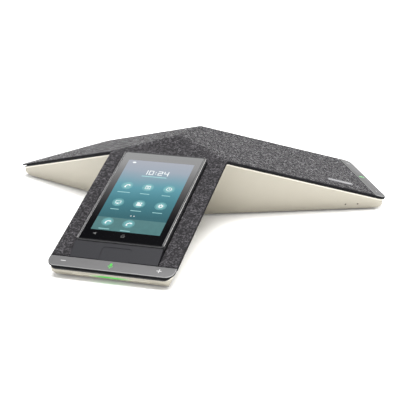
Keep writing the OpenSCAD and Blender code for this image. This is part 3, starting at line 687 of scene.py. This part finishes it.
def fabric_mesh():
    """The stretched cloth: rounded over its edges and turned under, with softly rounded ridges."""
    outline = spread(star_outline(FABRIC_END, (NOTCH_START, NOTCH_HALF, 3.0)), 3.2)
    steps = [(EDGE_ROUND * (1 - math.cos(a)), EDGE_ROUND * (1 - math.sin(a)))
             for a in (math.radians(d) for d in (0, 18, 38, 60, 90))]
    rows = [(0.9, 2.95), (0.35, 3.0), (0.0, 2.75), (0.0, 2.0)] + steps
    rings = []
    for distance, drop in rows:
        flat = inset(outline, distance)
        rings.append([(x, y, roof(x, y) - drop) for x, y in flat])
    verts, faces = loft(rings)
    n = len(outline)
    rim = inset(outline, EDGE_ROUND)
    low, high = rim.min(0), rim.max(0)
    xs = np.arange(low[0], high[0], CLOTH_PITCH)
    ys = np.arange(low[1], high[1], CLOTH_PITCH * 0.87)
    grid = np.array([(x + (j % 2) * CLOTH_PITCH / 2, y) for j, y in enumerate(ys) for x in xs])
    grid = grid[inside(grid, rim)]
    grid = grid[clear_of(grid, rim) > CLOTH_PITCH / 2]
    points = [Vector(p) for p in rim] + [Vector(p) for p in grid]
    made, _, tris, origin, _, _ = delaunay_2d_cdt(points, [], [list(range(n))], 1, 1e-5)
    first = (len(rings) - 1) * n
    index = []
    for place, source in zip(made, origin):
        ring_points = [i for i in source if i < n]
        if ring_points:
            index.append(first + ring_points[0])
        else:
            index.append(len(verts))
            verts.append((place.x, place.y, float(roof(place.x, place.y))))
    faces += [tuple(index[i] for i in t) for t in tris]
    return (verts, faces), HEM_BANDS * n


cloth_mesh, hem_faces = fabric_mesh()
fabric = piece("fabric_cover_cloth", cloth_mesh, "housing", fabric_cloth, extra=[painted_shade_black],
               place=Matrix.Translation((0, HUB_Y, 0)), stands_for=["fabric_cover"], smooth=60)
# The hem rows, from the turned-under edge up round the rounded edge, are painted near-black: painted shade
# along the cloth's edge.
for face in fabric.data.polygons[:hem_faces]:
    face.material_index = 1
thickness = fabric.modifiers.new("cloth_thickness", "SOLIDIFY")
thickness.thickness = 0.5 * MM
thickness.offset = -1

# ---------- display ----------

front_slope = slope_frame("front")
LIT_START = 52.0
LIT_END = 153.8
LIT_HALF = 31.6
PICTURE_TOP = SCREEN_TOP + 0.02
DOCK_TOP = SCREEN_TOP + 0.03
RING_TOP = SCREEN_TOP + 0.045
GLYPH_TOP = SCREEN_TOP + 0.06
EDGE_ROW = 6

bezel_outline = round_rect(SCREEN_START, SCREEN_END, SCREEN_HALF, 3.0, 8)
bezel_profile = [(0, -1.8), (0, 2.7), (0.22, 2.8), (0.22, 3.2), (0, 3.3), (0, 4.5), (0.08, 4.72),
                 (0.42, 4.98), (0.95, 5.0), (1.3, 4.7), (1.35, 3.9), (2.4, 3.9), (2.4, -1.8)]
bezel_rings = [[(x, y, z) for x, y in inset(bezel_outline, d)] for d, z in bezel_profile]
bezel = piece("display_bezel_frame", loft(bezel_rings, close=True), "housing", bezel_metal,
              place=front_slope, stands_for=["display_bezel"], extra=[edge_highlight_paint, edge_shade_paint], smooth=30)
corners_round = len(bezel_outline)
to_slope = front_slope.inverted()
# On the frame's top chamfer: painted highlight on the left and top sides, painted shade on the right side.
for face in bezel.data.polygons:
    middle = to_slope @ (face.center / MM)
    if face.index // corners_round == EDGE_ROW and middle.x < SCREEN_END - 2:
        face.material_index = 2 if middle.y > SCREEN_HALF - 2 else 1
outward(bezel)

glass_outline = round_rect(SCREEN_START + 1.5, SCREEN_END - 1.5, SCREEN_HALF - 1.5, 1.8, 8)
glass = piece("display_glass_pane", plate(glass_outline, [(0.1, 3.92), (0, 4.2), (0, 4.72), (0.28, 4.98),
                                                          (0.75, 5.0)]),
              "housing", glass_black, place=front_slope, stands_for=["cover_glass"],
              extra=[edge_highlight_paint, edge_shade_paint], smooth=25)
# On the glass's bevel: painted highlight on the left and top sides, painted shade on the upper part of the
# right side.
for face in glass.data.polygons:
    middle = to_slope @ (face.center / MM)
    if len(face.vertices) == 4 and abs(middle.z - 4.85) < 0.1 and middle.x < SCREEN_END - 3:
        if middle.y <= SCREEN_HALF - 3:
            face.material_index = 1
        elif middle.x <= SCREEN_START + 50:
            face.material_index = 2
outward(glass)


def lit_at(across, along):
    """A place on the lit picture: across and along run from 0 to 1."""
    return LIT_START + (LIT_END - LIT_START) * along, (across * 2 - 1) * LIT_HALF


def screen_piece(name, mesh, mat):
    return piece(name, mesh, "housing", mat, place=front_slope, smooth=0)


top_y = (front_slope @ Vector((LIT_START, 0, SCREEN_TOP))).y * MM
bottom_y = (front_slope @ Vector((LIT_END, 0, SCREEN_TOP))).y * MM
picture = tablet(LIT_START, LIT_END, -LIT_HALF, LIT_HALF, 0.4, SCREEN_TOP, PICTURE_TOP)
screen_piece("screen_picture", picture, screen_picture_material(top_y, bottom_y))
dock_start = lit_at(0, 0.825)[0]
dock = tablet(dock_start, LIT_END, -LIT_HALF, LIT_HALF, 0.3, PICTURE_TOP, DOCK_TOP)
screen_piece("screen_dock_band", dock, ui_dock)


def bars(items, height):
    """Short rounded label bars: centre across, centre along, width and depth in millimetres."""
    parts = []
    for across, along, width, depth in items:
        x, y = lit_at(across, along)
        parts.append(tablet(x - depth / 2, x + depth / 2, y - width / 2, y + width / 2, depth * 0.45,
                            height, height + 0.02))
    return join(*parts)


ICONS = [(a, d) for d in (0.375, 0.615) for a in (0.18, 0.494, 0.81)] + [(0.18, 0.885), (0.49, 0.889)]


def icon_rings():
    parts = []
    for across, along in ICONS:
        x, y = lit_at(across, along)
        parts.append(band(x, y, 5.3, 4.85, DOCK_TOP, RING_TOP))
        parts.append(disc(x, y, 4.4, DOCK_TOP, SCREEN_TOP + 0.04))
    return join(*parts)


def handset(x, y):
    """A telephone receiver lying at a slant."""
    z0, z1 = RING_TOP, GLYPH_TOP
    lean = Matrix.Translation((x, y, 0)) @ Matrix.Rotation(math.radians(40), 4, "Z")
    verts, faces = join(band(2.0, 0, 3.4, 2.3, z0, z1, 12, 128, 232),
                        tablet(-0.1, 1.5, -2.95, -1.55, 0.4, z0, z1),
                        tablet(-0.1, 1.5, 1.55, 2.95, 0.4, z0, z1))
    return [tuple(lean @ Vector(v)) for v in verts], faces


def icon_glyphs():
    z0, z1 = RING_TOP, GLYPH_TOP
    at = [lit_at(*i) for i in ICONS]
    parts = [handset(*at[0]), handset(*at[6]), handset(*at[7])]
    x, y = at[1]  # calendar
    parts += [tablet(x - 2.3, x - 1.2, y - 2.4, y + 2.4, 0.3, z0, z1), band(x + 0.5, y, 1.1, 0.6, z0, z1),
              tablet(x + 1.9, x + 2.4, y - 2.4, y + 2.4, 0.2, z0, z1),
              tablet(x - 1.0, x + 1.9, y - 2.4, y - 1.9, 0.2, z0, z1),
              tablet(x - 1.0, x + 1.9, y + 1.9, y + 2.4, 0.2, z0, z1)]
    x, y = at[2]  # clock
    parts += [band(x, y, 2.6, 2.0, z0, z1), tablet(x - 1.6, x + 0.3, y - 0.25, y + 0.25, 0.2, z0, z1),
              tablet(x - 0.2, x + 0.3, y - 0.2, y + 1.3, 0.2, z0, z1)]
    x, y = at[3]  # monitor
    parts += [tablet(x - 2.2, x - 1.7, y - 2.6, y + 2.6, 0.2, z0, z1),
              tablet(x + 0.7, x + 1.2, y - 2.6, y + 2.6, 0.2, z0, z1),
              tablet(x - 1.7, x + 0.7, y - 2.6, y - 2.1, 0.2, z0, z1),
              tablet(x - 1.7, x + 0.7, y + 2.1, y + 2.6, 0.2, z0, z1),
              tablet(x + 1.2, x + 2.0, y - 0.4, y + 0.4, 0.2, z0, z1),
              tablet(x + 2.0, x + 2.5, y - 1.4, y + 1.4, 0.2, z0, z1)]
    x, y = at[4]  # card with a fold
    parts += [tablet(x - 2.3, x - 0.3, y - 2.4, y + 0.6, 0.3, z0, z1),
              tablet(x - 2.3, x - 0.9, y + 1.0, y + 2.4, 0.3, z0, z1),
              tablet(x + 0.1, x + 2.3, y - 2.4, y + 2.4, 0.3, z0, z1)]
    x, y = at[5]  # cog
    parts.append(band(x, y, 1.9, 0.9, z0, z1))
    for i in range(8):
        a = i * math.pi / 4
        parts.append(disc(x + 2.15 * math.cos(a), y + 2.15 * math.sin(a), 0.5, z0, z1, 10))
    return join(*parts)


SEGMENTS = {"0": "abcdef", "1": "bc", "2": "abged", "3": "abgcd", "4": "fgbc", "5": "afgcd",
            "6": "afgedc", "7": "abc", "8": "abcdefg", "9": "abcdfg"}


def clock_digits(text, height, width, gap, stroke):
    """A plain clock reading made of bars."""
    total = sum(width * (0.35 if c == ":" else 1) + gap for c in text) - gap
    left = -total / 2
    x_mid = lit_at(0.5, 0.165)[0]
    top, bottom = x_mid - height / 2, x_mid + height / 2
    z0, z1 = DOCK_TOP, RING_TOP
    parts = []
    for c in text:
        w = width * (0.35 if c == ":" else 1)
        if c == ":":
            for x in (x_mid - height * 0.2, x_mid + height * 0.2):
                parts.append(disc(x, left + w / 2, stroke * 0.6, z0, z1, 12))
        else:
            spots = {"a": (top, top + stroke, 0, w), "d": (bottom - stroke, bottom, 0, w),
                     "g": (x_mid - stroke / 2, x_mid + stroke / 2, 0, w), "f": (top, x_mid, 0, stroke),
                     "e": (x_mid, bottom, 0, stroke), "b": (top, x_mid, w - stroke, w),
                     "c": (x_mid, bottom, w - stroke, w)}
            for key in SEGMENTS[c]:
                x0, x1, y0, y1 = spots[key]
                parts.append(tablet(x0, x1, left + y0, left + y1, 0.2, z0, z1))
        left += w + gap
    return join(*parts)


screen_piece("screen_icon_rings", icon_rings(), ui_ring)
screen_piece("screen_icon_marks", icon_glyphs(), ui_white)
screen_piece("screen_clock", clock_digits("10:24", 6.2, 4.4, 1.3, 0.85), ui_white)
labels = [(a, d + 0.095, w, 0.9) for (a, d), w in zip(ICONS, (12, 9, 8, 8, 10, 9, 10, 9))]
screen_piece("screen_label_bars", bars(labels + [(0.5, 0.222, 24, 1.1)], DOCK_TOP), ui_label)
screen_piece("screen_status_and_dots", join(
    bars([(0.1, 0.035, 3.4, 2.0)], DOCK_TOP),
    *[disc(*lit_at(a, 0.782), 0.6, DOCK_TOP, RING_TOP, 14) for a in (0.465, 0.51)]), ui_white)


def nav_marks():
    z0, z1 = SCREEN_TOP, PICTURE_TOP
    x, y = lit_at(0.085, 1.05)
    back = plate([(x - 1.5, y + 1.5), (x, y - 1.7), (x + 1.5, y + 1.5)], [(0, z0), (0, z1)])
    x, y = lit_at(0.5, 1.05)
    home = [tablet(x - 0.2, x + 0.2, y - 1.8, y + 1.8, 0.15, z0, z1),
            tablet(x + 1.7, x + 2.1, y - 1.5, y + 1.5, 0.15, z0, z1),
            tablet(x, x + 2.0, y - 1.5, y - 1.1, 0.15, z0, z1),
            tablet(x, x + 2.0, y + 1.1, y + 1.5, 0.15, z0, z1),
            band(x + 0.6, y, 2.4, 2.0, z0, z1, 8, 150, 210)]
    return join(back, *home)


outward(screen_piece("screen_nav_marks", nav_marks(), ui_key))

# ---------- control bars ----------


def roof_plate(outline, profile):
    """An outline in an arm's plan, swept through (inset, drop below the sloping top) steps."""
    rings = [[(x, y, APEX - FALL * x - drop) for x, y in inset(outline, d)] for d, drop in profile]
    return loft(rings, cap_first=True, cap_last=True)


MARKS_OUT = 182.7
PIN_OUT = 180.1
EARS_LOW = 10.7
SHADE_ROWS = 2
HIGHLIGHT_ROWS = 4
BAR_PROFILE = [(0.35, 1.8), (0.0, 1.5), (0.0, 0.5), (0.1, 0.28), (0.42, 0.04), (0.62, 0.0)]


def bar_outline():
    r = BAR_CORNER
    return ([(BAR_START, -HALF + 0.6), (BAR_START + 0.6, -HALF)]
            + arc(REACH - r, r - HALF, r, 270, 360, 12) + arc(REACH - r, HALF - r, r, 0, 90, 12)
            + [(BAR_START + 0.6, HALF), (BAR_START, HALF - 0.6)])


def plain(mesh):
    verts, faces = mesh
    return [(x, y, APEX - FALL * x + z) for x, y, z in verts], faces


def bar_marks(part):
    """Minus, microphone and plus, standing just proud of the bar."""
    mid = MARKS_OUT
    z0, z1 = -0.3, 0.03
    if part == "ends":
        return plain(join(tablet(mid - 0.35, mid + 0.35, -45.3, -40.7, 0.25, z0, z1),
                          tablet(mid - 0.35, mid + 0.35, 40.8, 45.2, 0.25, z0, z1),
                          tablet(mid - 2.2, mid + 2.2, 42.65, 43.35, 0.25, z0, z1)))
    return plain(join(tablet(mid - 2.7, mid + 0.9, -1.1, 1.1, 1.05, z0, z1),
                      band(mid - 0.2, 0, 2.4, 1.85, z0, z1, 18, -80, 80),
                      tablet(mid + 2.1, mid + 3.3, -0.35, 0.35, 0.2, z0, z1)))


def bar_underside():
    """Ears for the rocker pin and posts over the end switches, under the bar."""
    top = APEX - FALL * PIN_OUT - 1.5
    parts = [tablet(PIN_OUT + out, PIN_OUT + out + 0.8, -2.5, 2.5, 0.3, EARS_LOW, top) for out in (-2.3, 1.5)]
    parts += [disc(PIN_OUT, y, 1.2, EARS_LOW + 0.05, top, 20) for y in (-38, 38)]
    return join(*parts)


for arm in ARMS:
    here = arm_frame(arm)
    rider = arm + "_bar"
    bar = piece(f"control_bar_{arm}_cap", roof_plate(bar_outline(), BAR_PROFILE), rider,
                bar_plastic, place=here, stands_for=[f"control_bar_{arm}"], extra=[bar_rim_highlight, painted_shade_black],
                smooth=32)
    around = len(bar_outline())
    # The bar's bottom bevel and side wall are painted near-black as painted shade; its rounded top edge takes
    # the lighter edge finish as a painted highlight.
    for face in bar.data.polygons:
        row = face.index // around
        if len(face.vertices) == 4 and row < 5:
            face.material_index = 2 if row < SHADE_ROWS else 1 if row < HIGHLIGHT_ROWS else 0
    outward(bar)
    outward(piece(f"control_bar_{arm}_ears", bar_underside(), rider, black_plastic, place=here,
                  smooth=30))
    # The side arms' marks take the dimmer copy: painted shade.
    outward(piece(f"bar_marks_{arm}_ends", bar_marks("ends"), rider,
                  mark_white if arm == "front" else mark_shaded, place=here,
                  stands_for=[f"bar_icons_{arm}"], smooth=0))
    mute = green_light if arm == "front" else pale_green_light
    outward(piece(f"bar_marks_{arm}_mute", bar_marks("mute"), rider, mute, place=here,
                  smooth=0))

# ---------- feet ----------


FOOT_MIDDLE = 160.0


def foot_mesh():
    """A rounded rubber pad with raised ribs across its tread."""
    outline = round_rect(FOOT_MIDDLE - 9.8, FOOT_MIDDLE + 9.8, 35.8, 5.8, 8)
    parts = [plate(outline, [(0.8, 0.35), (0.3, 0.5), (0, 0.95), (0, 3.3)])]
    for x in np.arange(153.0, 167.6, 2.4):
        shrink = max(0.0, abs(x - FOOT_MIDDLE) - 4) * 0.6
        parts.append(plate(round_rect(x - 0.75, x + 0.75, 33.5 - shrink, 0.7, 4),
                           [(0.25, 0.0), (0, 0.2), (0, 0.5)]))
    return join(*parts)


for arm in ARMS:
    outward(piece(f"foot_{arm}_pad", foot_mesh(), "housing", foot_rubber,
                  place=arm_frame(arm), stands_for=[f"foot_{arm}"], smooth=35))

# ---------- microphone ports and badge ----------

MIC_OUT = (155.7, 167.3)
MIC_UP = 7.7


def port(x, z):
    """A small dished dark disc whose rim stands just proud of its hole; its near-black is painted shade for
    the inside of the hole.
    """
    rings = []
    for radius, depth in ((0.6, -0.75), (0.98, -0.3), (0.98, 0.02), (0.86, 0.04), (0.7, -0.15), (0.2, -0.2)):
        rings.append([(x + px, depth, z + pz) for px, pz in arc(0, 0, radius, 0, 360, 20)[:-1]])
    return loft(rings, cap_first=True, cap_last=True)


# Dark discs in the microphone holes: painted shade.
for arm in ARMS:
    outward(piece(f"mic_port_shade_{arm}", join(*[port(x, MIC_UP) for x in MIC_OUT]), "housing",
                  painted_shade_black, place=wall_frame(arm, -1), smooth=30))

right_slope = slope_frame("right")
outward(piece("badge_blank", plate([(x + 142, y - 39) for x, y in round_rect(0, 26, 2.4, 2.35, 10)],
                                   [(0.1, 0.0), (0, 0.1), (0, 0.6), (0.15, 0.82), (0.5, 0.9)]),
              "housing", badge_metal, place=right_slope, stands_for=["badge"], smooth=35))

# ---------- floor, light and camera ----------


FLOOR_HALF_WIDTH = 6.0


def floor():
    mesh = bpy.data.meshes.new("studio_floor")
    w = FLOOR_HALF_WIDTH
    mesh.from_pydata([(-w, -w, 0), (w, -w, 0), (w, w, 0), (-w, w, 0)], [], [(0, 1, 2, 3)])
    obj = bpy.data.objects.new("studio_floor", mesh)
    bpy.context.scene.collection.objects.link(obj)
    mat, s, surface = new_material("studio_floor_paint")
    cloud = s.noise(place_coords(s), 3.0)
    tone = s.mix(cloud, (0.9, 0.9, 0.9, 1), (0.88, 0.88, 0.88, 1))
    mat.node_tree.links.new(tone, surface.inputs["Base Color"])
    surface.inputs["Roughness"].default_value = 0.7
    surface.inputs["Specular IOR Level"].default_value = 0.2
    surface.inputs["Emission Color"].default_value = (1, 1, 1, 1)
    surface.inputs["Emission Strength"].default_value = 0.06
    mesh.materials.append(mat)


def softbox(name, place, size, watts):
    """A rectangular light aimed at the middle of the table top."""
    light = bpy.data.lights.new(name, "AREA")
    light.shape = "RECTANGLE"
    light.size, light.size_y = size
    light.energy = watts
    obj = bpy.data.objects.new(name, light)
    bpy.context.scene.collection.objects.link(obj)
    obj.location = place
    obj.rotation_euler = (-Vector(place)).to_track_quat("-Z", "Y").to_euler()


def studio_walls():
    """Pale walls that darken to the back, a dark ceiling, and one bright soft-edged panel high up."""
    world = bpy.data.worlds.new("studio_walls")
    bpy.context.scene.world = world
    world.use_nodes = True
    s = Shader(world.node_tree)
    sky = next(n for n in world.node_tree.nodes if n.type == "BACKGROUND")
    toward = s.add("ShaderNodeTexCoord").outputs["Generated"]
    _, back, up = s.add("ShaderNodeSeparateXYZ", {"Vector": toward}).outputs
    wall = s.spread(back, -0.3, 0.6, 0.95, 0.42)
    high = s.spread(up, math.sin(math.radians(46)), math.sin(math.radians(60)))
    tone = s.math("MULTIPLY", wall, s.spread(high, 0.0, 1.0, 1.0, 0.12))

    def along(direction):
        dot = s.add("ShaderNodeVectorMath", {0: toward, 1: direction}, operation="DOT_PRODUCT")
        return dot.outputs["Value"]

    elev, azim = math.radians(52.8), math.radians(124)
    middle = Vector((math.cos(elev) * math.cos(azim), math.cos(elev) * math.sin(azim), math.sin(elev)))
    rising = Vector((-math.sin(elev) * math.cos(azim), -math.sin(elev) * math.sin(azim), math.cos(elev)))
    sideways = Vector((-math.sin(azim), math.cos(azim), 0))
    across = (0.89 * rising + 0.46 * sideways).normalized()
    edge = along(across)
    near = s.spread(along(middle), math.cos(math.radians(16)), math.cos(math.radians(11)))
    steep = s.spread(edge, math.radians(1.2), math.radians(-3.4))
    panel = s.math("ADD", s.math("MULTIPLY", s.math("POWER", steep, 2.2), 3.3),
                   s.spread(edge, math.radians(1.6), math.radians(-1.4), 0.01, 0.3))
    tone = s.add("ShaderNodeMix", {"Factor": near, 2: tone, 3: panel}).outputs[0]
    world.node_tree.links.new(tone, sky.inputs["Color"])
    sky.inputs["Strength"].default_value = 1.0


floor()
studio_walls()
softbox("key_softbox", (0.1, -0.25, 1.7), (1.3, 1.1), 62)
softbox("back_softbox", (0.9, 1.1, 1.2), (1.4, 0.8), 23)

CAMERA_PLACE = (0.38103, -1.09082 + HUB_Y * MM, 0.43568)
CAMERA_AHEAD = (-0.2952, 0.8901, -0.3473)
CAMERA_ROLL = math.radians(-1.12)


def stand_camera():
    """The camera, by its place, the way it looks and a slight roll."""
    data = bpy.data.cameras.new("camera")
    data.lens = 114.88
    data.sensor_width = 36
    camera = bpy.data.objects.new("camera", data)
    bpy.context.scene.collection.objects.link(camera)
    ahead = Vector(CAMERA_AHEAD).normalized()
    flat_right = ahead.cross(Vector((0, 0, 1))).normalized()
    flat_up = flat_right.cross(ahead)
    right = math.cos(CAMERA_ROLL) * flat_right + math.sin(CAMERA_ROLL) * flat_up
    up = -math.sin(CAMERA_ROLL) * flat_right + math.cos(CAMERA_ROLL) * flat_up
    turn = Matrix((right, up, -ahead)).transposed().to_4x4()
    camera.matrix_world = Matrix.Translation(CAMERA_PLACE) @ turn
    bpy.context.scene.camera = camera
    bpy.context.scene.view_settings.view_transform = "Standard"


stand_camera()
